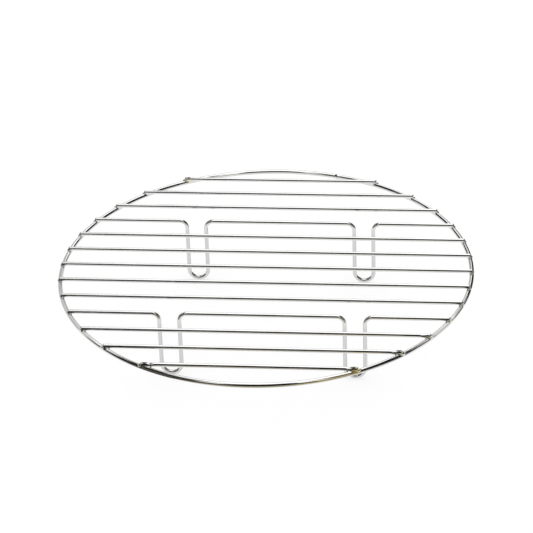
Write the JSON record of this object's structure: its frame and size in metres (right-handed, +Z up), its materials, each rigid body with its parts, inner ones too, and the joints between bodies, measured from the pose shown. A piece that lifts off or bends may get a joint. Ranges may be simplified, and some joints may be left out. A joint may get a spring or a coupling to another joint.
{
  "type": "smoker rack",
  "caption": "Round chrome-plated wire rack: parallel cross wires welded on top of a ring, some bent down into U-shaped feet, to hold food above smoke, heat or a drip tray.",
  "frame": {"origin": "on the table under the middle of the ring, at the lowest point of the feet", "axes": "+X along the cross wires, +Y towards the back of the rack, +Z up"},
  "size_m": [0.3, 0.3, 0.052],
  "materials": {
    "bright_plating": "bright chrome plating on drawn steel wire, with faint straw tint at the welds"
  },
  "bodies": {
    "root": {"outer_ring": "bright_plating", "rung_01": "bright_plating", "rung_02": "bright_plating", "rung_03": "bright_plating", "rear_leg_wire": "bright_plating", "rung_05": "bright_plating", "rung_06": "bright_plating", "rung_07": "bright_plating", "rung_08": "bright_plating", "rung_09": "bright_plating", "front_leg_wire": "bright_plating", "rung_11": "bright_plating", "rung_12": "bright_plating", "rung_13": "bright_plating"}
  },
  "joints": []
}
